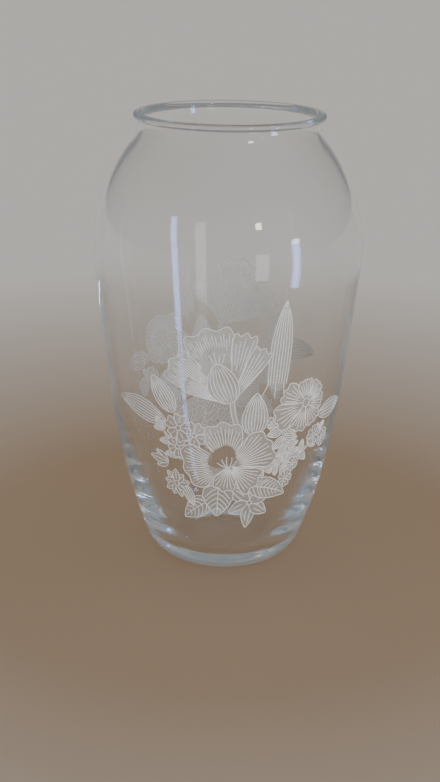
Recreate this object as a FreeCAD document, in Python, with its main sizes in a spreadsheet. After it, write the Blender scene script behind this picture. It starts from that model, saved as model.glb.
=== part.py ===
import FreeCAD, Part
import math
import os
import Sketcher

# A clear glass flower vase with a printed bouquet, front and back.
# Millimetres. +Z is up and is the vase's axis. The origin is the centre of the foot, on the table.
# The front faces -Y. A print's turn is its angle about +Z from the front, positive towards +X.

DIMENSIONS = {
    # outside of the glass, from the table up
    "vase_height": 200.0,
    "punt_height": 2.0,
    "foot_inner_radius": 17.0,
    "heel_arc": 16.0,
    "lower_arc": 300.0,
    "wall_foot_height": 80.0,
    "wall_lean": 6.0,
    "belly_height": 142.0,
    "belly_radius": 58.0,
    "belly_arc": 71.0,
    "neck_arc": 16.0,
    "neck_radius": 38.0,
    "lip_crown_radius": 39.2,
    # inside of the glass
    "wall_thickness": 2.2,
    "base_thickness": 9.0,
    "cavity_heel_arc": 14.0,
    "cavity_lower_arc": 220.0,
    "cavity_foot_height": 80.0,
    "cavity_lean": 7.5,
    "lip_inner_round": 1.8,
    "lip_crease_round": 0.6,
    # fired enamel
    "enamel_thickness": 0.1,
    "print_bottom": 24.0,
    "print_top": 138.0,
    "print_depth": 75.0,
    "back_turn": 180.0,
}

# Every flower is a ring or a fan of petals: turn and level of its centre, how many petals,
# petal length and width, and the first and last petal's direction from upright, clockwise.
FLOWERS = {
    "cup_flower": dict(turn=1.5, level=91.0, petals=5, length=30.0, width=15.0, first=-66, last=30),
    "open_flower": dict(turn=0.5, level=64.0, petals=6, length=18.5, width=18.0, first=0, last=300),
    "side_flower": dict(turn=37.0, level=84.5, petals=6, length=12.5, width=12.0, first=0, last=300),
    "daisy": dict(turn=-25.0, level=49.5, petals=7, length=6.0, width=4.4, first=0, last=308),
    "star_flower": dict(turn=14.0, level=41.5, petals=5, length=12.0, width=6.0, first=36, last=324),
}

# Every leaf is two arcs between its stalk end and its tip: turn and level of the stalk end,
# length, width, and the direction that the tip points, clockwise from upright.
LEAVES = {
    "bud": dict(turn=13.0, level=76.5, length=17.5, width=11.0, tilt=2),
    "blade_leaf": dict(turn=23.5, level=92.0, length=42.0, width=9.5, tilt=2),
    "long_leaf": dict(turn=-28.0, level=76.5, length=30.0, width=9.0, tilt=-80),
    "short_leaf": dict(turn=-24.5, level=84.0, length=18.0, width=8.0, tilt=-32),
    "right_leaf": dict(turn=50.0, level=78.5, length=19.0, width=8.0, tilt=84),
    "small_bud": dict(turn=-29.0, level=60.0, length=8.5, width=5.0, tilt=-76),
    "narrow_leaf": dict(turn=-20.5, level=50.0, length=11.0, width=4.6, tilt=154),
    "left_veined_leaf": dict(turn=-6.5, level=42.5, length=18.0, width=9.0, tilt=-129),
    "centre_veined_leaf": dict(turn=-2.0, level=51.0, length=16.0, width=12.5, tilt=188),
    "striped_leaf": dict(turn=12.0, level=50.0, length=17.5, width=8.5, tilt=103),
    "flower_stem": dict(turn=1.7, level=91.0, length=11.5, width=2.2, tilt=166),
}

# Every spray is a row of small round blossoms from its first one to its last one.
SPRAYS = {
    "left_spray": dict(turn=-27.5, level=78.5, end_turn=-13.5, end_level=74.5, blossoms=3, radius=4.6),
    "right_spray": dict(turn=26.0, level=76.0, end_turn=41.0, end_level=67.0, blossoms=3, radius=5.0),
    "edge_spray": dict(turn=48.0, level=67.5, end_turn=56.0, end_level=64.5, blossoms=2, radius=3.9),
    "low_spray": dict(turn=15.5, level=59.0, end_turn=33.0, end_level=57.5, blossoms=3, radius=4.8),
}

# Where two prints meet, the one behind stops at the outline of the ones in front.
IN_FRONT = {
    "cup_flower": ["open_flower"],
    "bud": ["open_flower"],
    "blade_leaf": ["side_flower", "bud"],
    "long_leaf": ["left_spray"],
    "short_leaf": ["left_spray", "long_leaf"],
    "right_leaf": ["side_flower"],
    "narrow_leaf": ["open_flower", "daisy"],
    "left_veined_leaf": ["narrow_leaf", "centre_veined_leaf", "open_flower"],
    "centre_veined_leaf": ["open_flower"],
    "striped_leaf": ["open_flower", "low_spray"],
    "star_flower": ["striped_leaf", "open_flower", "low_spray", "centre_veined_leaf"],
    "flower_stem": ["cup_flower", "open_flower"],
    "left_spray": ["open_flower"],
    "right_spray": ["side_flower", "open_flower"],
    "edge_spray": ["side_flower", "right_spray", "right_leaf"],
    "low_spray": ["open_flower", "right_spray"],
    "small_bud": ["daisy"],
    "daisy": ["open_flower"],
}

FRONT_FACING = FreeCAD.Rotation(FreeCAD.Vector(1, 0, 0), 90)
UPRIGHT = FreeCAD.Vector(0, 0, 1)

doc = FreeCAD.newDocument("printed_vase")
sheet = doc.addObject("Spreadsheet::Sheet", "Dimensions")


def all_dimensions():
    """The driving dimensions, with each print's own sizes under the print's name."""
    cells = dict(DIMENSIONS)
    for prints in (FLOWERS, LEAVES, SPRAYS):
        for name, sizes in prints.items():
            for key, value in sizes.items():
                if key not in ("petals", "blossoms", "first", "last", "tilt"):
                    cells[f"{name}_{key}"] = value
    return cells


for row, (alias, value) in enumerate(all_dimensions().items(), start=1):
    sheet.set(f"A{row}", alias)
    sheet.set(f"B{row}", str(value))
    sheet.setAlias(f"B{row}", alias)
doc.recompute()


def size(alias):
    """A driving dimension's value."""
    return float(sheet.get(alias))


def cell(alias):
    """A driving dimension's name in an expression."""
    return f"Dimensions.{alias}"


def origin_plane(body, role):
    return next(f for f in body.Origin.OriginFeatures if f.Role == role)


def rule(sketch, *constraint, to=None):
    """Adds one constraint, bound to an expression of the sheet where one is given."""
    index = sketch.addConstraint(Sketcher.Constraint(*constraint))
    if to is not None:
        sketch.setExpression(f"Constraints[{index}]", to)


def arc(centre, radius, first_deg, last_deg):
    circle = Part.Circle(FreeCAD.Vector(*centre, 0), UPRIGHT, radius)
    return Part.ArcOfCircle(circle, math.radians(first_deg), math.radians(last_deg))


def line(first, last):
    return Part.LineSegment(FreeCAD.Vector(*first, 0), FreeCAD.Vector(*last, 0))


def on_circle(centre, radius, angle_deg):
    angle = math.radians(angle_deg)
    return (centre[0] + radius * math.cos(angle), centre[1] + radius * math.sin(angle))


# ---------------------------------------------------------------- the side of the vase
# One side runs heel arc, long lower arc, straight leaning wall, belly arc, neck arc, all tangent.


class Side:
    """Rough positions of one side's arcs, close enough for the sketch to solve."""

    def __init__(self, floor, heel, lower, foot_height, lean, belly, neck, neck_radius):
        self.heel, self.lower, self.belly, self.neck = heel, lower, belly, neck
        self.lean = lean
        self.belly_centre = (size("belly_radius") - size("belly_arc"), size("belly_height"))
        self.wall_top = on_circle(self.belly_centre, belly, -lean)
        drop = (self.wall_top[1] - foot_height) * math.tan(math.radians(lean))
        self.wall_foot = (self.wall_top[0] - drop, foot_height)
        self.lower_centre = on_circle(self.wall_foot, -lower, -lean)
        rise = self.lower_centre[1] - floor - heel
        run = math.sqrt((lower - heel) ** 2 - rise**2)
        self.heel_angle = math.degrees(math.atan2(rise, run))
        self.heel_centre = (self.lower_centre[0] + run, floor + heel)
        across = neck_radius + neck - self.belly_centre[0]
        up = math.sqrt((belly + neck) ** 2 - across**2)
        self.neck_angle = math.degrees(math.atan2(up, across))
        self.neck_centre = (neck_radius + neck, self.belly_centre[1] + up)
        self.neck_point = (neck_radius, self.neck_centre[1])


def add_side(sketch, first, side, sizes):
    """Draws heel, lower arc, wall, belly and neck from geometry number first, and ties them."""
    heel, lower, wall, belly, neck = range(first, first + 5)
    sketch.addGeometry(arc(side.heel_centre, side.heel, -90, -side.heel_angle))
    sketch.addGeometry(arc(side.lower_centre, side.lower, -side.heel_angle, -side.lean))
    sketch.addGeometry(line(side.wall_foot, side.wall_top))
    sketch.addGeometry(arc(side.belly_centre, side.belly, -side.lean, side.neck_angle))
    sketch.addGeometry(arc(side.neck_centre, side.neck, 180, 180 + side.neck_angle))
    rule(sketch, "Tangent", heel, 2, lower, 1)
    rule(sketch, "Tangent", lower, 2, wall, 1)
    rule(sketch, "Tangent", wall, 2, belly, 1)
    rule(sketch, "Tangent", belly, 2, neck, 2)
    rule(sketch, "Radius", heel, side.heel, to=sizes["heel"])
    rule(sketch, "Radius", lower, side.lower, to=sizes["lower"])
    rule(sketch, "Radius", belly, side.belly, to=sizes["belly"])
    rule(sketch, "Radius", neck, side.neck, to=sizes["neck"])
    rule(sketch, "DistanceY", -1, 1, wall, 1, side.wall_foot[1], to=sizes["foot_height"])
    rule(sketch, "Angle", wall, math.radians(90 - side.lean), to=sizes["angle"])
    rule(sketch, "DistanceY", -1, 1, belly, 3, side.belly_centre[1], to=cell("belly_height"))
    rule(sketch, "DistanceX", belly, 3, -1, 1, -side.belly_centre[0],
         to=f"{cell('belly_arc')} - {cell('belly_radius')}")
    rule(sketch, "DistanceX", -1, 1, neck, 1, side.neck_point[0], to=sizes["neck_radius"])
    rule(sketch, "Horizontal", neck, 3, neck, 1)
    return heel, neck


def draw_outside(sketch):
    """Half section of the whole outside, with the pushed-up underside and the rolled lip."""
    side = Side(0.0, size("heel_arc"), size("lower_arc"), size("wall_foot_height"), size("wall_lean"),
                size("belly_arc"), size("neck_arc"), size("neck_radius"))
    height, punt, inner = size("vase_height"), size("punt_height"), size("foot_inner_radius")
    crown = size("lip_crown_radius")
    punt_arc = (inner**2 + punt**2) / (2 * punt)
    punt_edge = math.degrees(math.asin(1 - punt / punt_arc))
    lip = (height - side.neck_point[1]) / 2
    sketch.addGeometry(arc((0, punt - punt_arc), punt_arc, punt_edge, 90))
    sketch.addGeometry(line((inner, 0), (side.heel_centre[0], 0)))
    heel, neck = add_side(sketch, 2, side, {
        "heel": cell("heel_arc"), "lower": cell("lower_arc"), "belly": cell("belly_arc"),
        "neck": cell("neck_arc"), "foot_height": cell("wall_foot_height"),
        "angle": f"90 - {cell('wall_lean')}", "neck_radius": cell("neck_radius")})
    ledge, bead, top, axis = range(neck + 1, neck + 5)
    sketch.addGeometry(line(side.neck_point, (crown, side.neck_point[1])))
    sketch.addGeometry(arc((crown, height - lip), lip, -90, 90))
    sketch.addGeometry(line((crown, height), (0, height)))
    sketch.addGeometry(line((0, height), (0, punt)))
    rule(sketch, "PointOnObject", 0, 3, -2)
    rule(sketch, "PointOnObject", 0, 2, -2)
    rule(sketch, "PointOnObject", 0, 1, -1)
    rule(sketch, "DistanceY", -1, 1, 0, 2, punt, to=cell("punt_height"))
    rule(sketch, "DistanceX", -1, 1, 0, 1, inner, to=cell("foot_inner_radius"))
    rule(sketch, "Coincident", 0, 1, 1, 1)
    rule(sketch, "Horizontal", 1)
    rule(sketch, "Tangent", 1, 2, heel, 1)
    rule(sketch, "Coincident", neck, 1, ledge, 1)
    rule(sketch, "Horizontal", ledge)
    rule(sketch, "Tangent", ledge, 2, bead, 1)
    rule(sketch, "Tangent", bead, 2, top, 1)
    rule(sketch, "DistanceX", -1, 1, bead, 3, crown, to=cell("lip_crown_radius"))
    rule(sketch, "DistanceY", -1, 1, bead, 2, height, to=cell("vase_height"))
    rule(sketch, "Horizontal", top)
    rule(sketch, "PointOnObject", top, 2, -2)
    rule(sketch, "Coincident", top, 2, axis, 1)
    rule(sketch, "Coincident", axis, 2, 0, 2)


def draw_cavity(sketch):
    """Half section of the inside. The wall thickens from the belly down to the heavy base."""
    wall = size("wall_thickness")
    side = Side(size("base_thickness"), size("cavity_heel_arc"), size("cavity_lower_arc"),
                size("cavity_foot_height"), size("cavity_lean"), size("belly_arc") - wall,
                size("neck_arc") + wall, size("neck_radius") - wall)
    above = size("vase_height") + size("wall_thickness")
    heel, neck = add_side(sketch, 0, side, {
        "heel": cell("cavity_heel_arc"), "lower": cell("cavity_lower_arc"),
        "belly": f"{cell('belly_arc')} - {cell('wall_thickness')}",
        "neck": f"{cell('neck_arc')} + {cell('wall_thickness')}",
        "foot_height": cell("cavity_foot_height"), "angle": f"90 - {cell('cavity_lean')}",
        "neck_radius": f"{cell('neck_radius')} - {cell('wall_thickness')}"})
    bore, top, axis, floor = range(neck + 1, neck + 5)
    sketch.addGeometry(line(side.neck_point, (side.neck_point[0], above)))
    sketch.addGeometry(line((side.neck_point[0], above), (0, above)))
    base = size("base_thickness")
    sketch.addGeometry(line((0, above), (0, base)))
    sketch.addGeometry(line((0, base), (side.heel_centre[0], base)))
    rule(sketch, "Tangent", neck, 1, bore, 1)
    rule(sketch, "DistanceY", -1, 1, bore, 2, above, to=f"{cell('vase_height')} + {cell('wall_thickness')}")
    rule(sketch, "Coincident", bore, 2, top, 1)
    rule(sketch, "Horizontal", top)
    rule(sketch, "PointOnObject", top, 2, -2)
    rule(sketch, "Coincident", top, 2, axis, 1)
    rule(sketch, "PointOnObject", axis, 2, -2)
    rule(sketch, "Coincident", axis, 2, floor, 1)
    rule(sketch, "Horizontal", floor)
    rule(sketch, "Tangent", floor, 2, heel, 1)
    rule(sketch, "DistanceY", -1, 1, floor, 1, base, to=cell("base_thickness"))


def round_edges(shape, radius):
    """The name and height of each round edge of that radius."""
    for number, edge in enumerate(shape.Edges, start=1):
        if edge.Degenerated or not isinstance(edge.Curve, Part.Circle):
            continue
        if abs(edge.Curve.Radius - radius) < 0.01:
            yield f"Edge{number}", edge.Curve.Center.z


def turned(body, kind, name, draw):
    """A PartDesign revolution or groove of a half section drawn in the XZ plane."""
    sketch = body.newObject("Sketcher::SketchObject", f"{name}_section")
    sketch.AttachmentSupport = [(origin_plane(body, "XZ_Plane"), "")]
    sketch.MapMode = "FlatFace"
    draw(sketch)
    doc.recompute()
    if not sketch.FullyConstrained:
        raise RuntimeError(f"{sketch.Name} isn't fully constrained")
    feature = body.newObject(f"PartDesign::{kind}", name)
    feature.Profile = sketch
    feature.ReferenceAxis = (sketch, ["V_Axis"])
    feature.Angle = 360
    doc.recompute()
    return feature


def rounded(body, base, name, radius, alias):
    """A fillet on the highest round edge of that radius."""
    edge, height = max(round_edges(base.Shape, radius), key=lambda found: found[1])
    fillet = body.newObject("PartDesign::Fillet", name)
    fillet.Base = (base, [edge])
    fillet.setExpression("Radius", cell(alias))
    doc.recompute()
    return fillet


def make_glass():
    body = doc.addObject("PartDesign::Body", "glass_body")
    body.Label = "glass_body"
    outside = turned(body, "Revolution", "outside", draw_outside)
    cavity = turned(body, "Groove", "cavity", draw_cavity)
    if cavity.Shape.Volume > 0.4 * outside.Shape.Volume:
        raise RuntimeError("the cavity cut too little")
    bore = size("neck_radius") - size("wall_thickness")
    lip = rounded(body, cavity, "lip_inside", bore, "lip_inner_round")
    rounded(body, lip, "lip_crease", size("neck_radius"), "lip_crease_round")
    return body


# ---------------------------------------------------------------- the enamel skin


def draw_skin(sketch):
    """The band between the glass and the enamel's face, over the printed height."""
    enamel = size("enamel_thickness")
    foot, top, bottom = size("wall_foot_height"), size("print_top"), size("print_bottom")
    lean = size("wall_lean")
    shift = f"{cell('enamel_thickness')} * sin({cell('wall_lean')} * 1 deg)"
    for number, (step, add) in enumerate(((0.0, "0"), (enamel, cell("enamel_thickness")))):
        first = 3 * number
        lowest = foot - step * math.sin(math.radians(lean))
        side = Side(0.0, size("heel_arc"), size("lower_arc") + step, lowest, lean,
                    size("belly_arc") + step, size("neck_arc") - step, size("neck_radius"))
        low = math.degrees(math.asin((side.lower_centre[1] - bottom) / side.lower))
        high = math.degrees(math.asin((top - side.belly_centre[1]) / side.belly))
        sketch.addGeometry(arc(side.lower_centre, side.lower, -low, -lean))
        sketch.addGeometry(line(side.wall_foot, side.wall_top))
        sketch.addGeometry(arc(side.belly_centre, side.belly, -lean, high))
        rule(sketch, "Tangent", first, 2, first + 1, 1)
        rule(sketch, "Tangent", first + 1, 2, first + 2, 1)
        rule(sketch, "Radius", first, side.lower, to=f"{cell('lower_arc')} + {add}")
        rule(sketch, "Radius", first + 2, side.belly, to=f"{cell('belly_arc')} + {add}")
        rule(sketch, "Angle", first + 1, math.radians(90 - lean), to=f"90 - {cell('wall_lean')}")
        rule(sketch, "DistanceY", -1, 1, first + 1, 1, lowest,
             to=f"{cell('wall_foot_height')} - {number} * {shift}")
        rule(sketch, "DistanceY", -1, 1, first + 2, 3, side.belly_centre[1], to=cell("belly_height"))
        rule(sketch, "DistanceX", first + 2, 3, -1, 1, -side.belly_centre[0],
             to=f"{cell('belly_arc')} - {cell('belly_radius')}")
        rule(sketch, "DistanceY", -1, 1, first, 1, bottom, to=cell("print_bottom"))
        rule(sketch, "DistanceY", -1, 1, first + 2, 2, top, to=cell("print_top"))
    points = [sketch.getPoint(g, end) for g, end in ((0, 1), (3, 1), (2, 2), (5, 2))]
    sketch.addGeometry(Part.LineSegment(points[0], points[1]))
    sketch.addGeometry(Part.LineSegment(points[2], points[3]))
    for side_end, cap, cap_end in (((0, 1), 6, 1), ((3, 1), 6, 2), ((2, 2), 7, 1), ((5, 2), 7, 2)):
        rule(sketch, "Coincident", *side_end, cap, cap_end)


def make_skin():
    sketch = doc.addObject("Sketcher::SketchObject", "skin_section")
    sketch.Placement = FreeCAD.Placement(FreeCAD.Vector(), FRONT_FACING)
    draw_skin(sketch)
    skin = doc.addObject("Part::Revolution", "skin")
    skin.Source = sketch
    skin.Axis = UPRIGHT
    skin.Angle = 360
    skin.Solid = True
    doc.recompute()
    return skin


# ---------------------------------------------------------------- the prints
# Each outline is drawn facing front on the axis, pushed out through the wall, then turned about
# the axis to its place. What the skin and the pushed-out outline share is the print.


def pushed_out(name, outline):
    prism = doc.addObject("Part::Extrusion", f"{name}_prism")
    prism.Base = outline
    prism.DirMode = "Custom"
    prism.Dir = FreeCAD.Vector(0, -1, 0)
    prism.setExpression("LengthFwd", cell("print_depth"))
    prism.Solid = True
    return prism


def facing(lean_deg=0.0):
    """Turned to face the front, then leaned clockwise by lean_deg."""
    return FRONT_FACING.multiply(FreeCAD.Rotation(UPRIGHT, -lean_deg))


def petal(name, flower, angle):
    """An oval petal with its stalk end on the flower's centre."""
    oval = doc.addObject("Part::Ellipse", name)
    length, width, level = (cell(f"{flower}_{what}") for what in ("length", "width", "level"))
    reach = size(f"{flower}_length") / 2
    side, up = math.sin(math.radians(angle)), math.cos(math.radians(angle))
    oval.Placement = FreeCAD.Placement(
        FreeCAD.Vector(reach * side, 0, size(f"{flower}_level") + reach * up), facing(angle - 90))
    oval.setExpression("MajorRadius", f"max({length}; {width}) / 2")
    oval.setExpression("MinorRadius", f"min({length}; {width}) / 2")
    oval.setExpression("Placement.Base.x", f"{length} / 2 * {side:.6f}")
    oval.setExpression("Placement.Base.z", f"{level} + {length} / 2 * {up:.6f}")
    return pushed_out(name, oval)


def flower_parts(name, petals, first, last):
    step = (last - first) / (petals - 1)
    return [petal(f"{name}_petal_{i + 1}", name, first + i * step) for i in range(petals)]


def leaf_parts(name, tilt):
    """Two equal arcs between the stalk end and the tip."""
    length, width = size(f"{name}_length"), size(f"{name}_width")
    radius = (length**2 + width**2) / (4 * width)
    half = math.degrees(math.asin(length / 2 / radius))
    sketch = doc.addObject("Sketcher::SketchObject", f"{name}_outline")
    sketch.Placement = FreeCAD.Placement(FreeCAD.Vector(0, 0, size(f"{name}_level")), facing(tilt))
    sketch.addGeometry(arc((width / 2 - radius, length / 2), radius, -half, half))
    sketch.addGeometry(arc((radius - width / 2, length / 2), radius, 180 - half, 180 + half))
    long, wide = cell(f"{name}_length"), cell(f"{name}_width")
    to_radius = f"({long}^2 + {wide}^2) / (4 * {wide})"
    rule(sketch, "Coincident", 0, 1, -1, 1)
    rule(sketch, "Coincident", 1, 2, -1, 1)
    rule(sketch, "Coincident", 0, 2, 1, 1)
    rule(sketch, "PointOnObject", 0, 2, -2)
    rule(sketch, "DistanceY", -1, 1, 0, 2, length, to=long)
    rule(sketch, "Radius", 0, radius, to=to_radius)
    rule(sketch, "Radius", 1, radius, to=to_radius)
    sketch.setExpression("Placement.Base.z", cell(f"{name}_level"))
    return [pushed_out(name, sketch)]


def spray_parts(name, blossoms):
    """Round blossoms in a row, each at its own turn and level."""
    level, turn = cell(f"{name}_level"), cell(f"{name}_turn")
    end_level, end_turn = cell(f"{name}_end_level"), cell(f"{name}_end_turn")
    parts = []
    for i in range(blossoms):
        share = i / (blossoms - 1)
        blossom = doc.addObject("Part::Ellipse", f"{name}_blossom_{i + 1}")
        blossom.Placement = FreeCAD.Placement(FreeCAD.Vector(), facing())
        blossom.setExpression("MajorRadius", cell(f"{name}_radius"))
        blossom.setExpression("MinorRadius", cell(f"{name}_radius"))
        blossom.setExpression("Placement.Base.z", f"{level} + {share} * ({end_level} - {level})")
        prism = pushed_out(f"{name}_{i + 1}", blossom)
        turn_about_axis(prism, f"{share} * ({end_turn} - {turn})")
        parts.append(prism)
    return parts


def turn_about_axis(piece, expression):
    piece.Placement = FreeCAD.Placement(FreeCAD.Vector(), FreeCAD.Rotation(UPRIGHT, 1))
    piece.setExpression("Placement.Rotation.Angle", expression)


def joined(name, parts):
    """One pushed-out outline of the whole print, turned to its place."""
    whole = parts[0]
    if len(parts) > 1:
        whole = doc.addObject("Part::MultiFuse", f"{name}_whole")
        whole.Shapes = parts
    turn_about_axis(whole, cell(f"{name}_turn"))
    return whole


def printed(side, name, skin, outline, turn):
    """The enamel of one print, a node of its own."""
    node = doc.addObject("Part::Common", f"{side}_{name}")
    node.Base = skin
    node.Tool = outline
    node.Label = f"{side}_{name}"
    turn_about_axis(node, turn)
    return node


def make_prints(skin):
    outlines = {}
    for name, sizes in FLOWERS.items():
        parts = flower_parts(name, sizes["petals"], sizes["first"], sizes["last"])
        outlines[name] = joined(name, parts)
    for name, sizes in LEAVES.items():
        outlines[name] = joined(name, leaf_parts(name, sizes["tilt"]))
    for name, sizes in SPRAYS.items():
        outlines[name] = joined(name, spray_parts(name, sizes["blossoms"]))
    nodes = []
    for name, outline in outlines.items():
        seen = outline
        for other in IN_FRONT.get(name, []):
            cut = doc.addObject("Part::Cut", f"{name}_behind_{other}")
            cut.Base = seen
            cut.Tool = outlines[other]
            seen = cut
        nodes.append(printed("front", name, skin, seen, "0"))
        nodes.append(printed("back", name, skin, seen, cell("back_turn")))
    doc.recompute()
    return nodes


def check_document():
    for thing in doc.Objects:
        if "Invalid" in thing.State or "Error" in thing.State:
            raise RuntimeError(f"{thing.Name} failed: {thing.State}")


def write(nodes):
    os.makedirs("parts", exist_ok=True)
    for node in nodes:
        shape = node.Shape
        if shape.isNull() or not shape.isValid() or not shape.Solids:
            raise RuntimeError(f"{node.Label} has no valid solid")
        shape.exportStep(f"parts/{node.Label}.step")
        print(f"{node.Label}: {len(shape.Solids)} solid(s), {shape.Volume:.1f} mm3")


glass = make_glass()
enamel_nodes = make_prints(make_skin())
check_document()
write([glass] + enamel_nodes)
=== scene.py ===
import math

import bpy
import numpy as np
from mathutils import Matrix, Vector
from mathutils.geometry import delaunay_2d_cdt


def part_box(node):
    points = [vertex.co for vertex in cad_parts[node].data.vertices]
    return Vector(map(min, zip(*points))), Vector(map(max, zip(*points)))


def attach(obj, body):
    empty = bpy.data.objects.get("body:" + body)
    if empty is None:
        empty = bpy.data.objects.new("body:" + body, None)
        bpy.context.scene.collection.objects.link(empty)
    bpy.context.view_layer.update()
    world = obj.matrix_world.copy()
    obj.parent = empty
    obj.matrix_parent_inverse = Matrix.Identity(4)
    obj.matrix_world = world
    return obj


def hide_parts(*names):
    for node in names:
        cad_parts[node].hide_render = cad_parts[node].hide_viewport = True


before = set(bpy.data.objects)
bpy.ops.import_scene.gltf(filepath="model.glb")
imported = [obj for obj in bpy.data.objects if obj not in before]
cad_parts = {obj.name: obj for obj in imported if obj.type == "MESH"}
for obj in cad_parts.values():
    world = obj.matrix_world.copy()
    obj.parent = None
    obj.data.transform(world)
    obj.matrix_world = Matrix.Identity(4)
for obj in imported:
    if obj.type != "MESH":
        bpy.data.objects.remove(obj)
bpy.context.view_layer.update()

# A clear glass flower vase with a white printed bouquet on its front and the same one on its back.
# Metres. +Z is the vase's axis, the origin is the centre of its foot, and its front faces -Y.
# The glass's section and the print are laid out in millimetres of a 200 mm vase, and MM takes
# them to the size of the CAD body.

glass_low, glass_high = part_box("glass_body")
HEIGHT = 200.0
MM = (glass_high[2] - glass_low[2]) / HEIGHT

# ------------------------------------------------------------------ the section of the glass

# The wave on the inside fades in over WAVE_FADE below the neck, reaches its full height
# WAVE_FULL_RADIUS from the axis, and is FLOOR_WAVE as high on the cavity's floor.
PUNT_HEIGHT, FOOT_INNER = 2.0, 17.0
BELLY_HEIGHT, BELLY_RADIUS, BELLY_ARC = 142.0, 58.0, 71.0
NECK_RADIUS, NECK_ARC = 38.0, 16.0
CROWN_RADIUS, CREASE_ROUND, INNER_ROUND = 39.2, 0.6, 1.8
WALL, BASE = 2.2, 9.0
WALL_FOOT = 80.0
HEEL, LOWER_ARC, LEAN = 16.0, 300.0, 6.0
INNER_HEEL, INNER_LOWER_ARC, INNER_LEAN = 14.0, 220.0, 7.5
FLOOR_RINGS = (0.85, 0.7, 0.55, 0.4, 0.25, 0.1, 0.0)
SIDE_STEP, PUNT_STEP, LIP_STEP, CREASE_STEP = 1.8, 1.6, 0.25, 0.2
TURNS = 288
WAVE_MM, WAVE_FADE, FLOOR_WAVE, WAVE_FULL_RADIUS = 0.008, 12.0, 0.4, 20.0


def on_circle(centre, radius, degrees):
    angle = math.radians(degrees)
    return (centre[0] + radius * math.cos(angle), centre[1] + radius * math.sin(angle))


def arc(centre, radius, start, end, step):
    """Points along an arc from start to end degrees, about step apart."""
    count = max(2, round(abs(math.radians(end - start)) * radius / step))
    return [on_circle(centre, radius, start + (end - start) * i / count) for i in range(count + 1)]


def side(floor, heel, lower, lean, wall=0.0):
    """One side of the vase as tangent arcs, from the middle of its heel up to its neck.

    The belly and the neck lie wall millimetres inside the outer surface's."""
    belly, neck, neck_radius = BELLY_ARC - wall, NECK_ARC + wall, NECK_RADIUS - wall
    belly_centre = (BELLY_RADIUS - BELLY_ARC, BELLY_HEIGHT)
    wall_top = on_circle(belly_centre, belly, -lean)
    inward = (wall_top[1] - WALL_FOOT) * math.tan(math.radians(lean))
    wall_foot = (wall_top[0] - inward, WALL_FOOT)
    lower_centre = on_circle(wall_foot, -lower, -lean)
    rise = lower_centre[1] - floor - heel
    run = math.sqrt((lower - heel) ** 2 - rise**2)
    heel_angle = math.degrees(math.atan2(rise, run))
    across = neck_radius + neck - belly_centre[0]
    up = math.sqrt((belly + neck) ** 2 - across**2)
    neck_angle = math.degrees(math.atan2(up, across))
    neck_centre = (neck_radius + neck, BELLY_HEIGHT + up)
    straight_steps = round(math.dist(wall_foot, wall_top) / SIDE_STEP)
    straight = [tuple(np.add(wall_foot, np.subtract(wall_top, wall_foot) * i / straight_steps))
                for i in range(1, straight_steps)]
    return (arc((lower_centre[0] + run, floor + heel), heel, -90, -heel_angle, SIDE_STEP / 2)
            + arc(lower_centre, lower, -heel_angle, -lean, SIDE_STEP)[1:]
            + straight
            + arc(belly_centre, belly, -lean, neck_angle, SIDE_STEP)
            + arc(neck_centre, neck, 180 + neck_angle, 180, SIDE_STEP / 2)[1:])


def lip(neck_height):
    """The rolled lip, from the crease under the bead over the crown into the bore."""
    bead = (HEIGHT - neck_height) / 2
    crease = (NECK_RADIUS + CREASE_ROUND, neck_height - CREASE_ROUND)
    bore = NECK_RADIUS - WALL
    inner = (bore + INNER_ROUND, HEIGHT - INNER_ROUND)
    return (arc(crease, CREASE_ROUND, 180, 90, CREASE_STEP)
            + arc((CROWN_RADIUS, HEIGHT - bead), bead, -90, 90, LIP_STEP)
            + arc(inner, INNER_ROUND, 90, 180, LIP_STEP))


outside = side(0.0, HEEL, LOWER_ARC, LEAN)
inside = side(BASE, INNER_HEEL, INNER_LOWER_ARC, INNER_LEAN, WALL)
OUTER_Z = np.array([p[1] for p in outside])
OUTER_R = np.array([p[0] for p in outside])


def glass_section():
    """(radius, height, share of wave) along the whole surface, underside to cavity floor."""
    punt_arc = (FOOT_INNER**2 + PUNT_HEIGHT**2) / (2 * PUNT_HEIGHT)
    punt = arc((0.0, PUNT_HEIGHT - punt_arc), punt_arc, 90,
               math.degrees(math.asin(1 - PUNT_HEIGHT / punt_arc)), PUNT_STEP)
    neck_height = outside[-1][1]
    clear_of_crease = neck_height - CREASE_ROUND - 0.1
    outer = [p for p in outside if p[1] < clear_of_crease]
    floor = [(inside[0][0] * share, BASE) for share in FLOOR_RINGS]
    rows = [(r, z, 0.0) for r, z in punt + outer + lip(neck_height)]
    rows += [(r, z, min(1.0, (neck_height - z) / WAVE_FADE)) for r, z in reversed(inside)]
    rows += [(r, z, FLOOR_WAVE) for r, z in floor]
    return rows


def make_mesh(name, vertices, faces, smooth=True):
    mesh = bpy.data.meshes.new(name)
    mesh.from_pydata([tuple(v) for v in vertices], [], [tuple(int(i) for i in f) for f in faces])
    mesh.validate()
    mesh.update()
    for polygon in mesh.polygons:
        polygon.use_smooth = smooth
    piece = bpy.data.objects.new(name, mesh)
    bpy.context.scene.collection.objects.link(piece)
    return piece


def waviness(angles, z):
    """Two slow waves round the glass that twist as they climb."""
    return np.sin(3 * angles + z / 19) + 0.6 * np.sin(5 * angles - z / 11 + 1.3)


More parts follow.
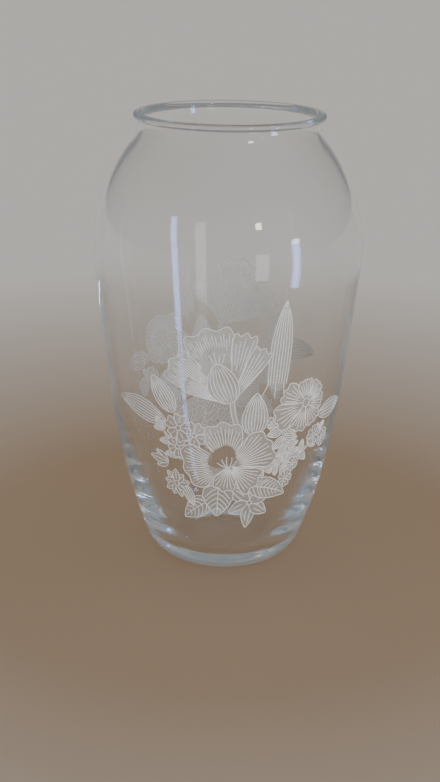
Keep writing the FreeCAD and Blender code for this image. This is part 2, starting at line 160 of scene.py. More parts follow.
def make_glass():
    """The glass turned round its axis. Its inside waves slightly, as pressed and blown glass does."""
    rows = glass_section()
    angles = np.linspace(0, 2 * math.pi, TURNS, endpoint=False)
    vertices, rings = [], []
    for r, z, wave in rows:
        if r < 1e-6:
            rings.append([len(vertices)] * TURNS)
            vertices.append((0.0, 0.0, z * MM))
            continue
        radius = r + wave * WAVE_MM * waviness(angles, z) * min(1.0, r / WAVE_FULL_RADIUS)
        rings.append(list(range(len(vertices), len(vertices) + TURNS)))
        vertices += [(a * MM, b * MM, z * MM)
                     for a, b in zip(radius * np.sin(angles), -radius * np.cos(angles))]
    faces = []
    for low, high in zip(rings, rings[1:]):
        for i in range(TURNS):
            j = (i + 1) % TURNS
            corners = [low[i], low[j], high[j], high[i]]
            faces.append(list(dict.fromkeys(corners)))
    return make_mesh("vase_glass", vertices, faces)


# ------------------------------------------------------------------ the drawing of the bouquet
# Drawn on a flat sheet in millimetres: x runs round the vase to the right, UNROLL mm to the
# radian from the middle of the print, and y is the height above the table. A shape is an
# outline, the lines inside it, and whether enamel fills it. Shapes are listed from the front of
# the bouquet to its back, and each hides what lies behind it.

UNROLL = 55.0
LINE_MM = 0.37
STEP = 0.7
LEAF_POINTS, BLADE_POINTS, PETAL_POINTS, VEIN_POINTS = 33, 40, 73, 14


def direction(degrees):
    """Unit steps towards an angle clockwise from upright, one row per angle."""
    angle = np.radians(degrees)
    return np.stack([np.sin(angle), np.cos(angle)], axis=-1)


def spaced(points, step=STEP):
    """The same path with points about step apart."""
    points = np.asarray(points, float)
    length = np.concatenate([[0], np.cumsum(np.linalg.norm(np.diff(points, axis=0), axis=1))])
    count = max(2, int(round(length[-1] / step)) + 1)
    at = np.linspace(0, length[-1], count)
    return np.stack([np.interp(at, length, points[:, k]) for k in (0, 1)], axis=-1)


def flowing(points, closed=False):
    """A smooth path through a few points."""
    p = np.asarray(points, float)
    count = len(p)
    ends = [p[-1], *p, p[0], p[1]] if closed else [2 * p[0] - p[1], *p, 2 * p[-1] - p[-2]]
    t = np.linspace(0, 1, 12, endpoint=False)[:, None]
    path = []
    for i in range(count if closed else count - 1):
        a, b, c, d = ends[i:i + 4]
        path.append(0.5 * (2 * b + (c - a) * t + (2 * a - 5 * b + 4 * c - d) * t**2
                           + (3 * b - a - 3 * c + d) * t**3))
    path.append(ends[count:count + 1] if not closed else [p[0]])
    return spaced(np.concatenate(path))


class Shape:
    """One outline of the drawing with the lines inside it."""

    def __init__(self, outline, lines=(), filled=True, outlined=True):
        self.outline = np.asarray(outline, float)
        self.lines = [np.asarray(line, float) for line in lines]
        self.filled = filled
        if outlined:
            self.lines.append(np.concatenate([self.outline, self.outline[:1]]))

    def holds(self, points):
        """Whether each point lies inside the outline."""
        x, y = points[:, 0, None], points[:, 1, None]
        a, b = self.outline, np.roll(self.outline, -1, axis=0)
        crosses = (a[:, 1] > y) != (b[:, 1] > y)
        height = np.where(a[:, 1] == b[:, 1], 1.0, b[:, 1] - a[:, 1])
        right = x < (b[:, 0] - a[:, 0]) * (y - a[:, 1]) / height + a[:, 0]
        return np.count_nonzero(crosses & right, axis=1) % 2 == 1


def fan(base, lean, length, spread, veins, ruffles, ruffle, start, fullness=8.0, skew=0.0):
    """A broad petal that opens from its base, with veins fanning out to a ruffled edge."""
    t = np.linspace(-1, 1, PETAL_POINTS)
    base = np.asarray(base, float)

    def place(t, share):
        edge = np.sqrt(np.clip(1 - np.abs(t) ** fullness, 0, 1)) * (1 + skew * t)
        reach = length * share * edge * (1 + ruffle * np.cos(ruffles * math.pi * t))
        return base + reach[..., None] * direction(lean + spread * t)

    lines, outermost, gather = [], 0.88, 0.16
    for number, at in enumerate(np.linspace(-outermost, outermost, veins)):
        first = start + 0.06 * (number % 2)
        last = 0.93 - 0.07 * (number % 3 == 1)
        share = np.linspace(first, last, VEIN_POINTS)
        lines.append(place(at * (1 - gather + gather * share), share))
    return Shape(spaced(place(t, np.ones_like(t)))[:-1], lines)


def leaf_sides(base, lean, length, width, bend, blunt, swell):
    """The spine, the way across it, and the half width of a leaf, from stalk to tip."""
    s = np.linspace(0, 1, LEAF_POINTS)
    ahead, across = direction(lean), direction(lean + 90)
    spine = (np.asarray(base, float) + s[:, None] * length * ahead
             + (bend * length * s * (1 - s) * 4)[:, None] * across)
    half = width / 2 * np.sin(math.pi * s**swell) ** blunt
    return s, spine, across, half


def veined_leaf(base, lean, length, width, pairs, notch, bend=0.0, blunt=0.9, swell=0.85):
    """A leaf with a midrib, pairs of slanting side veins and a scalloped edge."""
    s, spine, across, half = leaf_sides(base, lean, length, width, bend, blunt, swell)
    scallop = 1 + notch * np.cos(2 * math.pi * pairs * s)
    left = spine - (half * scallop)[:, None] * across
    right = spine + (half * scallop)[:, None] * across
    outline = spaced(np.concatenate([left, right[::-1][1:-1]]))
    lines = [spine[1:-2]]
    ahead = direction(lean)
    for at in np.linspace(0.1, 0.74, pairs):
        root = spine[int(at * (LEAF_POINTS - 1))]
        for hand in (-1, 1):
            out = np.interp(min(1, at + 0.12), s, half) * 0.86
            tip = root + hand * out * across + ahead * out * 0.85
            middle = root + hand * out * 0.5 * across + ahead * out * 0.3
            lines.append(flowing([root, middle, tip]))
    return Shape(outline, lines)


def striped_leaf(base, lean, length, width, stripes, bend=0.0, blunt=0.9, first=0.06, last=0.92,
                 swell=0.85):
    """A leaf with stripes along it that close up towards both ends."""
    s, spine, across, half = leaf_sides(base, lean, length, width, bend, blunt, swell)
    left, right = spine - half[:, None] * across, spine + half[:, None] * across
    outline = spaced(np.concatenate([left, right[::-1][1:-1]]))
    lines = []
    for number, share in enumerate(np.linspace(-1, 1, stripes + 2)[1:-1]):
        inside_leaf = (s > first + 0.04 * (number % 2)) & (s < last - 0.07 * (number % 2))
        lines.append((spine + (half * share)[:, None] * across)[inside_leaf])
    return Shape(outline, lines)


def ring(centre, radius):
    angle = np.linspace(0, 2 * math.pi, max(9, int(9 * radius)), endpoint=False)
    return Shape(np.asarray(centre, float)
                 + radius * np.stack([np.sin(angle), np.cos(angle)], axis=-1))


def dot(centre, radius=0.45):
    """A small solid spot of enamel, drawn as a short thick line."""
    centre = np.asarray(centre, float)
    return np.stack([centre - (radius, 0), centre + (radius, 0)])


def stamens(base, tips):
    """Thin threads that bow outwards and end in dots."""
    lines, bow = [], 0.5
    for tip in tips:
        middle = (np.add(base, tip) / 2) + np.array([bow * np.sign(tip[0] - base[0]), 0])
        lines += [flowing([base, middle, tip]), dot(tip)]
    return lines


def heart(centre, radius, dots):
    """The round middle of a flower, with a ring of dots in it."""
    middle = ring(centre, radius)
    middle.lines += [dot(np.asarray(centre) + 0.52 * radius * direction(360 * i / dots), 0.18)
                     for i in range(dots)]
    return middle


def blossom(centre, radius, turn):
    """A small flower: a heart in front of five notched petals."""
    petals = 5
    return [heart(centre, radius * 0.2, 1)] + [
        fan(centre, turn + 360 * i / petals, radius * (1 - 0.1 * (i % 2)), 205 / petals, veins=3,
            ruffles=2, ruffle=-0.09, fullness=4.0, start=0.36) for i in range(petals)]


def leaf_flower(centre, leaves, length, width, first, step, stripes):
    """A flower of pointed striped petals round a heart."""
    return [heart(centre, 1.3, 3)] + [
        striped_leaf(centre, first + step * i, length * (1 - 0.12 * (i % 2)), width, stripes=stripes,
                     first=0.25, last=0.85) for i in range(leaves)]


def sprig(path, pairs, length, width, opening=55.0):
    """A curved stem with a leaf at its tip and pairs of leaves along it, smaller towards the tip."""
    stripes, shrink = 3, 0.35
    stem = flowing(path)
    along = np.gradient(stem, axis=0)
    leans = np.degrees(np.arctan2(along[:, 0], along[:, 1]))
    shapes = [striped_leaf(stem[-1], leans[-1], length * (1 - shrink), width * (1 - shrink / 2), stripes)]
    for share in np.linspace(0.92, 0.12, pairs):
        at = int(share * (len(stem) - 1))
        size = 1 - shrink * share
        for hand in (-1, 1):
            shapes.append(striped_leaf(stem[at], leans[at] + hand * opening, length * size, width * size,
                                       stripes, bend=-0.1 * hand))
    shapes.append(stalk(path, 0.9))
    return shapes


def stalk(path, width):
    """A stem as two lines with fill between them."""
    path = flowing(path)
    along = np.gradient(path, axis=0)
    across = np.stack([-along[:, 1], along[:, 0]], axis=-1)
    across /= np.linalg.norm(across, axis=1)[:, None]
    left, right = path + across * width / 2, path - across * width / 2
    return Shape(np.concatenate([left, right[::-1]]), [left, right], outlined=False)


def grass_blade(foot, top, width, strands):
    """A tall blade of close strands that part at its foot and close to a point."""
    foot, top = np.asarray(foot, float), np.asarray(top, float)
    t = np.linspace(0, 1, BLADE_POINTS)
    half = width / 2 * (1 - t**3.2) ** 0.8 * (0.9 + 0.1 * np.sin(math.pi * t))
    spine = foot + t[:, None] * (top - foot)
    sideways = np.array([1.0, 0.0])
    lines = []
    for number, share in enumerate(np.linspace(-1, 1, strands)):
        strand = spine + (half * share)[:, None] * sideways
        strand = strand[:BLADE_POINTS - 4 * (number % 2)]
        if number % 3 == 0:
            root = strand[0] - ((1.6 if number == 0 else -0.5 * share) * 1.5, 5.0 + 1.5 * (number % 2))
            strand = np.concatenate([flowing([root, strand[0], strand[2]]), strand[3:]])
        lines.append(strand)
    left, right = spine - half[:, None] * sideways, spine + half[:, None] * sideways
    across = np.linspace(1, -1, 9)[1:-1, None]
    hem = spine[0] + half[0] * across * sideways - (1 - across**2) * (0.0, 3.0)
    return Shape(np.concatenate([left, right[::-1][1:], hem]), lines, outlined=False)


def open_flower():
    """The large flower seen from the front, with stamens in an open throat."""
    throat = Shape(flowing([(-8.2, 62.6), (-5.2, 67.6), (0.6, 70.8), (4.4, 67.6), (4.8, 62.6),
                            (2.6, 59.8), (-2.2, 59.6), (-6.2, 60.2)], closed=True),
                   stamens((1.6, 59.4), [(-3.5, 62.0), (-1.5, 63.7), (0.8, 65.0), (3.2, 64.6),
                                         (5.0, 62.8)]),
                   filled=False, outlined=False)
    return [throat,
            fan((1.6, 60.2), 192, 12.2, 46, veins=9, ruffles=4, ruffle=0.05, fullness=4.0, start=0.08),
            fan((1.8, 60.2), 124, 16.5, 34, veins=9, ruffles=3, ruffle=0.05, start=0.1),
            fan((2.2, 60.6), 62, 21.5, 37, veins=12, ruffles=4, ruffle=0.03, start=0.22, skew=0.05),
            fan((1.4, 60.6), -98, 21.0, 43, veins=18, ruffles=4, ruffle=0.03, start=0.4, skew=0.14),
            fan((0.8, 60.8), -6, 20.2, 42, veins=14, ruffles=4, ruffle=0.04, fullness=4.0, start=0.4)]


def cup_flower():
    """The tall flower seen from the side."""
    inner = striped_leaf((2.2, 90.2), -20, 18.5, 13.0, stripes=7, bend=-0.04, blunt=0.6, last=0.96)
    throat = Shape(flowing([(-9.5, 103.0), (-8.6, 113.4), (-0.6, 113.8), (1.6, 104.0)], closed=True),
                   stamens((-3.0, 106.0), [(-7.0, 111.2), (-5.0, 112.2), (-3.0, 111.4), (-1.0, 112.0)]),
                   outlined=False)
    petals = [(-67, 21.5, 13, 9, 0.3), (30, 27.0, 12, 6, 0.3), (11, 31.0, 12, 7, 0.5),
              (-56, 30.5, 20, 16, 0.42), (-18, 33.5, 24, 20, 0.7)]
    return [inner, throat] + [fan((1.8, 90.0), lean, length, spread, veins=veins, ruffles=3,
                                  ruffle=0.03, start=start)
                              for lean, length, spread, veins, start in petals]


def side_flower():
    """The round ruffled flower near the right edge of the print."""
    centre = (38.0, 86.4)
    sizes = (10.8, 10.6, 10.4, 12.0, 13.0, 16.5, 14.0)
    step = 360 / len(sizes)
    return [heart(centre, 1.9, 6)] + [fan(centre, step * i - 8, length, 31, veins=7, ruffles=4,
                                          ruffle=0.035, start=0.3) for i, length in enumerate(sizes)]


def bouquet():
    """Every motif of one print, from the front of the bouquet to its back."""
    return [
        ("open_flower", open_flower()),
        ("side_flower", side_flower()),
        ("bud", [striped_leaf((12.6, 75.0), 2, 19.5, 11.5, stripes=7, blunt=0.75, last=0.95, swell=0.7)]),
        ("low_spray", blossom((31.5, 51.5), 4.2, 20) + blossom((34.5, 58.0), 3.6, 50)
         + sprig([(11.0, 58.5), (20.0, 60.5), (30.0, 57.0)], 4, 8.0, 4.4)),
        ("right_spray", sprig([(27.5, 84.0), (27.0, 74.0), (31.5, 63.5)], 5, 10.0, 5.0, opening=62)
         + blossom((22.5, 79.5), 4.0, 10)),
        ("left_spray", blossom((-21.5, 77.0), 6.4, 12) + blossom((-14.0, 74.5), 6.0, 40)
         + blossom((-22.5, 68.0), 5.2, 30)
         + sprig([(-21.0, 62.0), (-26.0, 70.0), (-30.0, 76.0)], 3, 8.0, 4.0)),
        ("daisy", leaf_flower((-24.6, 49.6), 9, 7.4, 3.6, 0, 40, 1)),
        ("cup_flower", cup_flower()),
        ("long_leaf", [striped_leaf((-26.6, 78.2), -79, 30.5, 9.6, stripes=6, bend=0.05)]),
        ("short_leaf", [striped_leaf((-23.4, 84.0), -33, 18.0, 9.6, stripes=6, blunt=0.7)]),
        ("right_leaf", [striped_leaf((47.0, 78.6), 86, 21.0, 8.4, stripes=4)]),
        ("narrow_leaf", [striped_leaf((-20.4, 50.0), 158, 12.0, 5.0, stripes=3)]),
        ("centre_veined_leaf", [veined_leaf((-3.0, 51.0), 184, 16.5, 15.5, pairs=5, notch=0.04, blunt=0.8,
                                            swell=0.62)]),
        ("left_veined_leaf", [veined_leaf((-5.6, 43.6), -124, 20.0, 10.5, pairs=6, notch=0.04, bend=0.04)]),
        ("striped_leaf", [veined_leaf((9.6, 50.2), 106, 24.0, 10.5, pairs=8, bend=-0.06, notch=0.03)]),
        ("star_flower", leaf_flower((13.0, 41.4), 6, 13.6, 7.0, 60, 62, 2)),
        ("small_bud", [striped_leaf((-28.0, 59.6), lean, length, 3.8, stripes=1)
                       for lean, length in ((-82, 10.5), (-52, 8.0), (-112, 7.5))]),
        ("blade_leaf", [grass_blade((21.8, 97.5), (23.4, 134.0), 9.6, 8)]),
        ("edge_spray", blossom((46.5, 69.0), 4.8, 0) + blossom((54.0, 66.0), 4.4, 30)
         + sprig([(35.0, 61.5), (42.0, 64.5), (50.0, 71.0)], 3, 7.5, 3.8)),
        ("flower_stem", [stalk([(2.6, 91.0), (3.4, 85.0), (5.4, 78.0)], 1.9)]),
    ]


# ------------------------------------------------------------------ the enamel on the glass


def visible_runs(line, in_front):
    """The parts of a line that no shape in front hides."""
    line = spaced(line, STEP / 2)
    hidden = np.zeros(len(line), bool)
    for shape in in_front:
        hidden |= shape.holds(line)
    runs, run = [], []
    for point, gone in zip(line, hidden):
        if gone:
            runs.append(run)
            run = []
        else:
            run.append(point)
    runs.append(run)
    return [spaced(run) for run in runs if len(run) > 2]


def on_glass(points, lift_mm):
    """Flat points laid on the wall and lifted off it, and the wall's outward directions there."""
    points = np.asarray(points, float)
    turn, z = points[:, 0] / UNROLL, points[:, 1]
    r = np.interp(z, OUTER_Z, OUTER_R)
    slope = np.interp(z + 0.5, OUTER_Z, OUTER_R) - np.interp(z - 0.5, OUTER_Z, OUTER_R)
    across, up = 1 / np.sqrt(1 + slope**2), -slope / np.sqrt(1 + slope**2)
    normal = np.stack([across * np.sin(turn), -across * np.cos(turn), up], axis=-1)
    at = np.stack([r * np.sin(turn), -r * np.cos(turn), z], axis=-1)
    return (at + normal * lift_mm) * MM, normal


# Heights over the wall, in millimetres.
LINE_LOW, LINE_HIGH = 0.05, 0.14
FILL_LOW, FILL_HIGH = 0.03, 0.07
# A line's top is narrower than its foot, and both grow from the line's ends, point by point.
LINE_TOP_SHARE, LINE_END_SHARE, LINE_GROWTH = 0.55, 0.55, 0.25
# The fill's triangles, in millimetres. The nudge keeps the grid off the outlines' own points.
FILL_GRID, FILL_OUTLINE_STEP, FILL_NUDGE = 2.2, 1.0, (0.013, 0.017)
MERGE_MM, SLIVER = 1e-4, 1e-6
# The four materials' numbers. The faces turned to the glass have their own: darker copies of the enamel, as
# painted shade.
LINE, LINE_SHADED_INSIDE, VEIL, VEIL_SHADED_INSIDE = range(4)


class Skin:
    """The vertices and faces of one motif, with a material number for each face."""

    def __init__(self):
        self.vertices, self.faces, self.material = [], [], []

    def add(self, vertices, faces, materials):
        first = sum(len(block) for block in self.vertices)
        self.vertices.append(vertices)
        self.faces += [[first + i for i in face] for face in faces]
        self.material += materials

    def add_line(self, path):
        """A raised stroke that narrows at both ends."""
        low, normal = on_glass(path, LINE_LOW)
        high, _ = on_glass(path, LINE_HIGH)
        along = np.gradient(low, axis=0)
        across = np.cross(along, normal)
        across /= np.linalg.norm(across, axis=1)[:, None]
        count = len(path)
        from_end = np.minimum(np.arange(count), np.arange(count)[::-1])
        half = LINE_MM * MM / 2 * np.clip(LINE_END_SHARE + LINE_GROWTH * from_end, 0, 1)[:, None]
        rows = np.stack([low - across * half, high - across * half * LINE_TOP_SHARE,
                         high + across * half * LINE_TOP_SHARE, low + across * half], axis=1)
        faces = [(0, 1, 2, 3), tuple(4 * (count - 1) + k for k in (3, 2, 1, 0))]
        materials = [LINE, LINE]
        for i in range(count - 1):
            for k in range(4):
                j = (k + 1) % 4
                faces.append((4 * i + k, 4 * (i + 1) + k, 4 * (i + 1) + j, 4 * i + j))
                # The face on the glass takes the darker copy of the enamel: painted shade.
                materials.append(LINE_SHADED_INSIDE if k == 3 else LINE)
        self.add(rows.reshape(-1, 3), faces, materials)

    def add_fill(self, points, triangles):
        """A thin layer over the triangles, with a bottom, a top and an edge all round."""
        used = sorted({i for t in triangles for i in t})
        number = {old: new for new, old in enumerate(used)}
        low, _ = on_glass(points[used], FILL_LOW)
        high, _ = on_glass(points[used], FILL_HIGH)
        count = len(used)
        top = [tuple(number[i] + count for i in t) for t in triangles]
        bottom = [tuple(number[i] for i in reversed(t)) for t in triangles]
        edges = {(t[i], t[(i + 1) % 3]) for t in triangles for i in range(3)}
        rim = [(number[a], number[b], number[b] + count, number[a] + count)
               for a, b in edges if (b, a) not in edges]
        # The bottom, on the glass, takes the darker copy of the enamel: painted shade.
        materials = [VEIL] * len(top) + [VEIL_SHADED_INSIDE] * len(bottom) + [VEIL] * len(rim)
        self.add(np.concatenate([low, high]), top + bottom + rim, materials)


def flat_fill(motifs):
    """Triangles that cover every filled shape once, each with the motif it belongs to."""
    shapes = [(name, shape) for name, group in motifs for shape in group]
    points, outlines = [], []
    for _, shape in shapes:
        path = spaced(np.concatenate([shape.outline, shape.outline[:1]]), FILL_OUTLINE_STEP)[:-1]
        outlines.append([len(points) + i for i in range(len(path))])
        points += [Vector(p) for p in path]
    low, high = np.min(points, axis=0), np.max(points, axis=0)
    for row, y in enumerate(np.arange(low[1], high[1], FILL_GRID)):
        for x in np.arange(low[0] + FILL_GRID / 2 * (row % 2), high[0], FILL_GRID):
            points.append(Vector((x + FILL_NUDGE[0], y + FILL_NUDGE[1])))
    placed, _, triangles, _, _, _ = delaunay_2d_cdt(points, [], outlines, 0, MERGE_MM)
    placed = np.array([tuple(p) for p in placed])
    triangles = np.array([t for t in triangles if len(t) == 3])
    a, b, c = (placed[triangles[:, k]] for k in range(3))
    area = (b[:, 0] - a[:, 0]) * (c[:, 1] - a[:, 1]) - (b[:, 1] - a[:, 1]) * (c[:, 0] - a[:, 0])
    triangles[area < 0] = triangles[area < 0][:, ::-1]
    middle = (a + b + c) / 3
    owner = np.full(len(triangles), -1)
    free = np.ones(len(triangles), bool)
    for number, (_, shape) in enumerate(shapes):
        mine = free & shape.holds(middle)
        if shape.filled:
            owner[mine] = number
        free &= ~mine
    covered = {}
    for name, _ in motifs:
        numbers = [k for k, (owner_name, _) in enumerate(shapes) if owner_name == name]
        chosen = triangles[np.isin(owner, numbers) & (np.abs(area) > SLIVER)]
        covered[name] = [tuple(int(i) for i in t) for t in chosen]
    return placed, covered


def make_print(motifs, materials):
    """Every motif once on the front and once, turned half round, on the back."""
    placed, covered = flat_fill(motifs)
    in_front, half_turn = [], np.array([-1.0, -1.0, 1.0])
    for name, group in motifs:
        skin = Skin()
        for shape in group:
            for line in shape.lines:
                for run in visible_runs(line, in_front):
                    skin.add_line(run)
            in_front.append(shape)
        if covered[name]:
            skin.add_fill(placed, covered[name])
        vertices = np.concatenate(skin.vertices)
        for side_name, turn in (("front", 1.0), ("back", half_turn)):
            piece = make_mesh(f"enamel_{side_name}_{name}", vertices * turn, skin.faces, smooth=False)
            for material in materials:
                piece.data.materials.append(material)
            piece.data.polygons.foreach_set("material_index", skin.material)
            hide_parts(f"{side_name}_{name}")
            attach(piece, "root")


# ------------------------------------------------------------------ materials


def add_node(tree, kind, sockets=None, **settings):
    """A new node with its settings and its sockets' own values."""
    node = tree.nodes.new(kind)
    for key, value in settings.items():
        setattr(node, key, value)
    for key, value in (sockets or {}).items():
        node.inputs[key].default_value = value
    return node


def add_ramp(tree, value, places, colours):
    """A value turned into a colour between two."""
    node = add_node(tree, "ShaderNodeValToRGB")
    for element, place, colour in zip(node.color_ramp.elements, places, colours):
        element.position, element.color = place, (*colour, 1.0)
    tree.links.new(value, node.inputs["Fac"])
    return node.outputs["Color"]


class Nodes:
    """A new material and short ways to add and link its nodes."""

    def __init__(self, name):
        self.material = bpy.data.materials.new(name)
        self.material.use_nodes = True
        self.tree = self.material.node_tree
        self.shader = self.tree.nodes["Principled BSDF"]
        self.output = self.tree.nodes["Material Output"]

    def add(self, kind, sockets=None, **settings):
        return add_node(self.tree, kind, sockets, **settings)

    def link(self, out, into):
        self.tree.links.new(out, into)

    def where(self):
        return self.add("ShaderNodeTexCoord").outputs["Object"]

    def noise(self, scale, detail, stretch=None):
        node = self.add("ShaderNodeTexNoise", {"Scale": scale, "Detail": detail})
        where = self.where()
        if stretch:
            mapping = self.add("ShaderNodeMapping", {"Scale": stretch})
            self.link(where, mapping.inputs["Vector"])
            where = mapping.outputs["Vector"]
        self.link(where, node.inputs["Vector"])
        return node.outputs["Fac"]

    def spread(self, value, low, high, new_low, new_high):
        node = self.add("ShaderNodeMapRange", {"From Min": low, "From Max": high,
                                               "To Min": new_low, "To Max": new_high})
        self.link(value, node.inputs["Value"])
        return node.outputs["Result"]

    def colours(self, value, low, high, first, last):
        return add_ramp(self.tree, value, (low, high), (first, last))

    def bump(self, height, strength, distance):
        node = self.add("ShaderNodeBump", {"Strength": strength, "Distance": distance})
        self.link(height, node.inputs["Height"])
        self.link(node.outputs["Normal"], self.shader.inputs["Normal"])


GLASS_TINT, GLASS_ABSORPTION = (0.88, 0.92, 0.935), 5.0
WHITE, SHADE = (0.88, 0.87, 0.86), (0.78, 0.77, 0.76)
# Painted shade: darker copies of the enamel's two tones, for its faces turned to the glass.
SHADED_INSIDE_WHITE, SHADED_INSIDE_DARKER = (0.52, 0.52, 0.52), (0.46, 0.46, 0.46)
LINE_GRAIN, VEIL_GRAIN, VEIL_ALPHA = 9000.0, 5000.0, 0.13
FLOOR_NEAR, FLOOR_NEAR_LIGHT, FLOOR_FAR = (0.30, 0.21, 0.135), (0.33, 0.235, 0.155), (0.66, 0.61, 0.55)
FLOOR_FADE_FROM, FLOOR_FADE_TO = 0.12, 0.50


def glass_material():
    """Clear soda-lime glass, faintly blue-green where it is thick, with a slightly uneven surface."""
    n = Nodes("clear_glass")
    n.shader.inputs["Transmission Weight"].default_value = 1.0
    n.shader.inputs["IOR"].default_value = 1.52
    n.link(n.colours(n.noise(26.0, 2.0), 0.35, 0.7, (0.985, 0.992, 0.99), (1.0, 1.0, 1.0)),
           n.shader.inputs["Base Color"])
    n.shader.inputs["Roughness"].default_value = 0.0
    n.bump(n.noise(30.0, 1.0, (1.0, 1.0, 0.45)), 0.04, 0.0004)
    volume = n.add("ShaderNodeVolumeAbsorption", {"Color": (*GLASS_TINT, 1.0), "Density": GLASS_ABSORPTION})
    n.link(volume.outputs["Volume"], n.output.inputs["Volume"])
    return n.material


def enamel_material(name, alpha, light, dark, grain):
    """Fired screen-print enamel: chalky, between two close tones, with the screen's fine grain."""
    n = Nodes(name)
    n.shader.inputs["Alpha"].default_value = alpha
    n.shader.inputs["IOR"].default_value = 1.5
    n.link(n.colours(n.noise(grain, 2.0), 0.3, 0.7, dark, light), n.shader.inputs["Base Color"])
    n.link(n.spread(n.noise(grain * 0.6, 3.0), 0.3, 0.7, 0.38, 0.62), n.shader.inputs["Roughness"])
    n.bump(n.noise(grain * 1.5, 2.0), 0.35, 0.00005)
    return n.material


def floor_material():
    """A matt floor with no pattern, brown in a soft disc round the vase and pale beyond it."""
    n = Nodes("soft_floor")
    spot = n.add("ShaderNodeVectorMath", operation="LENGTH")
    n.link(n.where(), spot.inputs[0])
    distance = n.spread(spot.outputs["Value"], FLOOR_FADE_FROM, FLOOR_FADE_TO, 0.0, 1.0)
    near = n.colours(n.noise(1.6, 4.0), 0.3, 0.7, FLOOR_NEAR, FLOOR_NEAR_LIGHT)
    mixed = n.add("ShaderNodeMix", data_type="RGBA")
    n.link(distance, mixed.inputs["Factor"])
    n.link(near, mixed.inputs["A"])
    mixed.inputs["B"].default_value = (*FLOOR_FAR, 1.0)
    n.shader.inputs["Specular IOR Level"].default_value = 0.0
    n.link(mixed.outputs["Result"], n.shader.inputs["Base Color"])
    n.link(n.spread(n.noise(9.0, 4.0), 0.3, 0.7, 0.5, 0.65), n.shader.inputs["Roughness"])
    return n.material


# ------------------------------------------------------------------ floor, light and camera


FLOOR_REACH, FLOOR_DROP = 9.0, 0.0001
WALL_GLOW, CEILING_GLOW, WALL_TO_CEILING = (0.42, 0.405, 0.385), (0.17, 0.19, 0.205), (0.02, 0.7)
BACK_GLOW, FRONT_END, BACK_START = (0.235, 0.235, 0.24), -0.45, 0.35
DAYLIGHT, DAYLIGHT_AZIMUTH, DAYLIGHT_RISE, DAYLIGHT_POWER = (0.18, 0.22, 0.30), 35.0, 40.0, 3.0
SOFT_LIGHT, SOFT_ANGLE = (0.97, 0.98, 1.0), 30.0
CAMERA_AT, CAMERA_PITCH, CAMERA_ROLL = (-0.0025, -0.5151, 0.2683), 20.49, 0.81
SENSOR_MM, FOCAL_OVER_HEIGHT = 36.0, 1216.5 / 782    # focal length over the picture's height
BOUNCES = 400


def make_floor():
    corners = [(x * FLOOR_REACH, y * FLOOR_REACH, 0) for x, y in ((-1, -1), (1, -1), (1, 1), (-1, 1))]
    floor = make_mesh("floor", corners, [(0, 1, 2, 3)], smooth=False)
    floor.location.z = -FLOOR_DROP
    floor.data.materials.append(floor_material())


def make_window(name, azimuth, distance, bottom, top, width, radiance, colour):
    """An upright bright pane, seen only in gloss and through glass, that lights nothing matt.

    Azimuth 0 is where the camera stands."""
    data = bpy.data.lights.new(name, "AREA")
    data.shape, data.size, data.size_y = "RECTANGLE", width, top - bottom
    data.energy, data.color = radiance * math.pi * width * (top - bottom), colour
    lamp = bpy.data.objects.new(name, data)
    angle = math.radians(azimuth)
    lamp.location = (distance * math.sin(angle), -distance * math.cos(angle), (bottom + top) / 2)
    lamp.rotation_euler = (math.pi / 2, 0.0, angle)
    lamp.visible_camera = lamp.visible_diffuse = False
    bpy.context.scene.collection.objects.link(lamp)


def make_soft_light(name, azimuth, rise, irradiance):
    """Soft light on matt surfaces, without shadows. It isn't mirrored in the glass."""
    data = bpy.data.lights.new(name, "SUN")
    data.angle, data.energy, data.color = math.radians(SOFT_ANGLE), irradiance, SOFT_LIGHT
    data.use_shadow = False
    lamp = bpy.data.objects.new(name, data)
    lamp.rotation_euler = (math.radians(90.0 - rise), 0.0, math.radians(azimuth))
    lamp.visible_camera = lamp.visible_glossy = lamp.visible_transmission = False
    bpy.context.scene.collection.objects.link(lamp)


def make_room():
    """A soft room: grey walls, darker above and behind the vase, with daylight from the front right."""
    world = bpy.data.worlds.new("room")
    bpy.context.scene.world = world
    world.use_nodes = True
    tree = world.node_tree
    where = add_node(tree, "ShaderNodeTexCoord").outputs["Generated"]
    axes = add_node(tree, "ShaderNodeSeparateXYZ")
    tree.links.new(where, axes.inputs["Vector"])
    upward = add_ramp(tree, axes.outputs["Z"], WALL_TO_CEILING, (WALL_GLOW, CEILING_GLOW))
    behind = add_node(tree, "ShaderNodeMapRange", {"From Min": FRONT_END, "From Max": BACK_START},
                      interpolation_type="SMOOTHSTEP")
    tree.links.new(axes.outputs["Y"], behind.inputs["Value"])
    walls = add_node(tree, "ShaderNodeMix", data_type="RGBA")
    tree.links.new(behind.outputs["Result"], walls.inputs["Factor"])
    tree.links.new(upward, walls.inputs["A"])
    walls.inputs["B"].default_value = (*BACK_GLOW, 1.0)
    facing = add_node(tree, "ShaderNodeVectorMath", operation="DOT_PRODUCT")
    turn, rise = math.radians(DAYLIGHT_AZIMUTH), math.radians(DAYLIGHT_RISE)
    tree.links.new(where, facing.inputs[0])
    facing.inputs[1].default_value = (math.sin(turn) * math.cos(rise), -math.cos(turn) * math.cos(rise),
                                      math.sin(rise))
    lobe = add_node(tree, "ShaderNodeMath", operation="POWER", use_clamp=True)
    tree.links.new(facing.outputs["Value"], lobe.inputs[0])
    lobe.inputs[1].default_value = DAYLIGHT_POWER
    daylight = add_node(tree, "ShaderNodeMix", data_type="RGBA", blend_type="ADD")
    tree.links.new(lobe.outputs["Value"], daylight.inputs["Factor"])
    tree.links.new(walls.outputs["Result"], daylight.inputs["A"])
    daylight.inputs["B"].default_value = (*DAYLIGHT, 1.0)
    tree.links.new(daylight.outputs["Result"], tree.nodes["Background"].inputs["Color"])


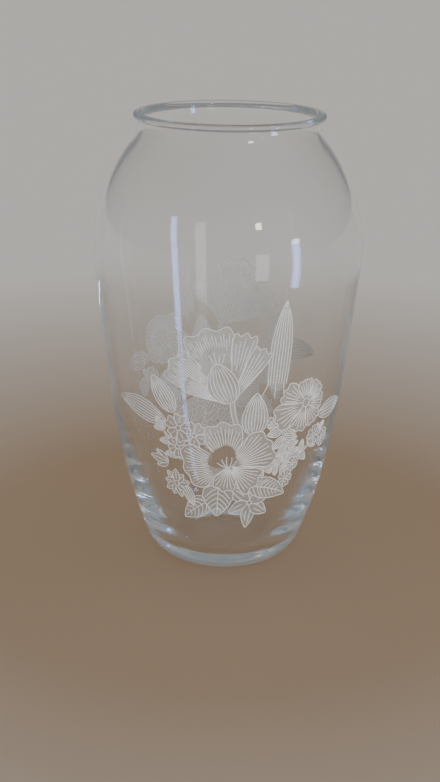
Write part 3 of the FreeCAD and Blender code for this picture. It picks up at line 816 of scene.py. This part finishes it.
def make_camera():
    """The photograph's viewpoint, 515 mm in front of the axis and 268 mm above the table."""
    data = bpy.data.cameras.new("camera")
    data.sensor_width = SENSOR_MM
    data.lens = SENSOR_MM * FOCAL_OVER_HEIGHT
    data.clip_start, data.clip_end = 0.01, 50.0
    camera = bpy.data.objects.new("camera", data)
    pitch, roll = math.radians(CAMERA_PITCH), math.radians(CAMERA_ROLL)
    camera.matrix_world = (Matrix.Translation(CAMERA_AT)
                           @ Matrix.Rotation(math.pi / 2 - pitch, 4, "X")
                           @ Matrix.Rotation(roll, 4, "Z"))
    bpy.context.scene.collection.objects.link(camera)
    bpy.context.scene.camera = camera


glass = make_glass()
glass.data.materials.append(glass_material())
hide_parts("glass_body")
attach(glass, "root")

# In the order of the line, the line's face on the glass, the veil and the veil's face on the glass. The
# darker two are painted shade on the faces turned to the glass, and make the print across the vase look
# faint and out of focus.
make_print(bouquet(), [
    enamel_material("enamel_line", 1.0, WHITE, SHADE, LINE_GRAIN),
    enamel_material("enamel_line_shaded_inside", 1.0, SHADED_INSIDE_WHITE, SHADED_INSIDE_DARKER, LINE_GRAIN),
    enamel_material("enamel_veil", VEIL_ALPHA, WHITE, SHADE, VEIL_GRAIN),
    enamel_material("enamel_veil_shaded_inside", VEIL_ALPHA, SHADED_INSIDE_WHITE, SHADED_INSIDE_DARKER, VEIL_GRAIN)])

make_floor()
make_room()
make_window("blue_window", azimuth=55, distance=0.42, bottom=0.004, top=0.192, width=0.046,
            radiance=11.0, colour=(0.30, 0.42, 1.0))
make_window("sky_window", azimuth=55, distance=0.42, bottom=0.195, top=0.218, width=0.046,
            radiance=12.0, colour=(0.75, 0.87, 1.0))
make_window("white_window", azimuth=27, distance=0.5, bottom=0.03, top=0.178, width=0.093,
            radiance=1.9, colour=(0.95, 0.97, 1.0))
make_window("warm_lamp", azimuth=26, distance=0.8, bottom=0.43, top=0.50, width=0.07,
            radiance=22.0, colour=(1.0, 0.86, 0.68))
make_soft_light("key_light", azimuth=25, rise=27, irradiance=2.7)
make_soft_light("back_light", azimuth=205, rise=15, irradiance=2.0)
make_camera()

# The thick wall carries light round the vase, and shows black spots where its paths are cut short.
light_paths = bpy.context.scene.cycles
light_paths.max_bounces = light_paths.transmission_bounces = BOUNCES
light_paths.glossy_bounces = light_paths.transparent_max_bounces = BOUNCES
